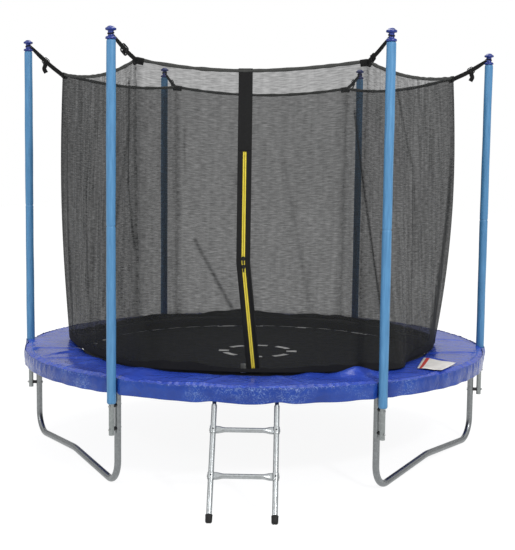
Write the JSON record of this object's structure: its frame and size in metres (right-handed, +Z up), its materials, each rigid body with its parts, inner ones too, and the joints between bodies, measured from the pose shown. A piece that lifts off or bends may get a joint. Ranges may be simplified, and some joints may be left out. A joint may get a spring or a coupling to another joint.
{
  "type": "backyard trampoline",
  "caption": "Round backyard trampoline with a blue spring pad, a black mat, a zipped safety net hung from padded poles, W-shaped legs and a short hook-on ladder.",
  "frame": {"origin": "centre of the frame ring, on the ground plane that the legs stand on", "axes": "+Z up, the zipped door and the ladder face -Y, +X to the right seen from the front"},
  "size_m": [2.544, 2.8112, 2.165],
  "materials": {
    "galvanised_steel": "galvanised tube, soft grey sheen",
    "pole_steel": "galvanised tube",
    "blue_foam": "pale blue foam sleeve with a slight sheen",
    "blue_plastic": "moulded blue plastic",
    "black_plastic": "moulded black plastic",
    "zinc_hardware": "zinc-plated",
    "mat_weave": "black woven polypropylene",
    "spring_wire": "galvanised spring wire",
    "blue_pad": "glossy blue PVC over foam",
    "net_mesh": "fine dark grey mesh",
    "black_webbing": "black woven webbing",
    "zip_tape": "yellow coil zip",
    "black_rubber": "black rubber"
  },
  "bodies": {
    "frame": {"door_strip_left": "black_webbing", "door_strip_right": "black_webbing", "frame_rail_1": "galvanised_steel", "frame_rail_2": "galvanised_steel", "frame_rail_3": "galvanised_steel", "frame_rail_4": "galvanised_steel", "frame_rail_5": "galvanised_steel", "frame_rail_6": "galvanised_steel", "frame_screws": "zinc_hardware", "leg_back": "galvanised_steel", "leg_left": "galvanised_steel", "leg_right": "galvanised_steel", "net_bottom_hem": "black_webbing", "net_panel_1": "net_mesh", "net_panel_2": "net_mesh", "net_panel_3": "net_mesh", "net_panel_4": "net_mesh", "net_panel_5": "net_mesh", "net_panel_front_left": "net_mesh", "net_panel_front_right": "net_mesh", "net_straps": "black_webbing", "net_top_hem": "net_mesh", "pad_skirt": "blue_pad", "pole_bolts": "zinc_hardware", "pole_caps": "blue_plastic", "pole_lower_1": "pole_steel", "pole_lower_2": "pole_steel", "pole_lower_3": "pole_steel", "pole_lower_4": "pole_steel", "pole_lower_5": "pole_steel", "pole_lower_6": "pole_steel", "pole_nuts": "zinc_hardware", "pole_sleeve_1": "blue_foam", "pole_sleeve_2": "blue_foam", "pole_sleeve_3": "blue_foam", "pole_sleeve_4": "blue_foam", "pole_sleeve_5": "blue_foam", "pole_sleeve_6": "blue_foam", "pole_spacers": "black_plastic", "pole_upper_1": "pole_steel", "pole_upper_2": "pole_steel", "pole_upper_3": "pole_steel", "pole_upper_4": "pole_steel", "pole_upper_5": "pole_steel", "pole_upper_6": "pole_steel", "safety_pad": "blue_pad", "springs": "spring_wire", "strap_buckles": "black_plastic", "zip_tape_left": "zip_tape", "zip_tape_right": "zip_tape"},
    "mat": {"jumping_mat": "mat_weave", "mat_rings": "zinc_hardware"},
    "zip_upper": {"zip_slider_upper": "black_plastic"},
    "zip_lower": {"zip_slider_lower": "black_plastic"},
    "ladder": {"ladder_bolts": "zinc_hardware", "ladder_feet": "black_rubber", "ladder_rail_left": "galvanised_steel", "ladder_rail_right": "galvanised_steel", "ladder_rung_lower": "galvanised_steel", "ladder_rung_upper": "galvanised_steel"}
  },
  "joints": [
    {"name": "mat_bounce", "type": "slide", "parent": "frame", "child": "mat", "axis": [0, 0, 1], "range_m": [-0.12, 0], "stiffness_N_per_m": 6000, "springref_m": 0.05},
    {"name": "zip_upper_slide", "type": "slide", "parent": "frame", "child": "zip_upper", "axis": [0.0039, 0, 1], "range_m": [0, 0.475]},
    {"name": "zip_lower_slide", "type": "slide", "parent": "frame", "child": "zip_lower", "axis": [0.1048, 0, -0.9945], "range_m": [0, 0.465]},
    {"name": "ladder_swing", "type": "hinge", "parent": "frame", "child": "ladder", "pos_m": [0, -1.19287, 0.485], "axis": [-1, 0, 0], "range_deg": [0, 10]}
  ]
}
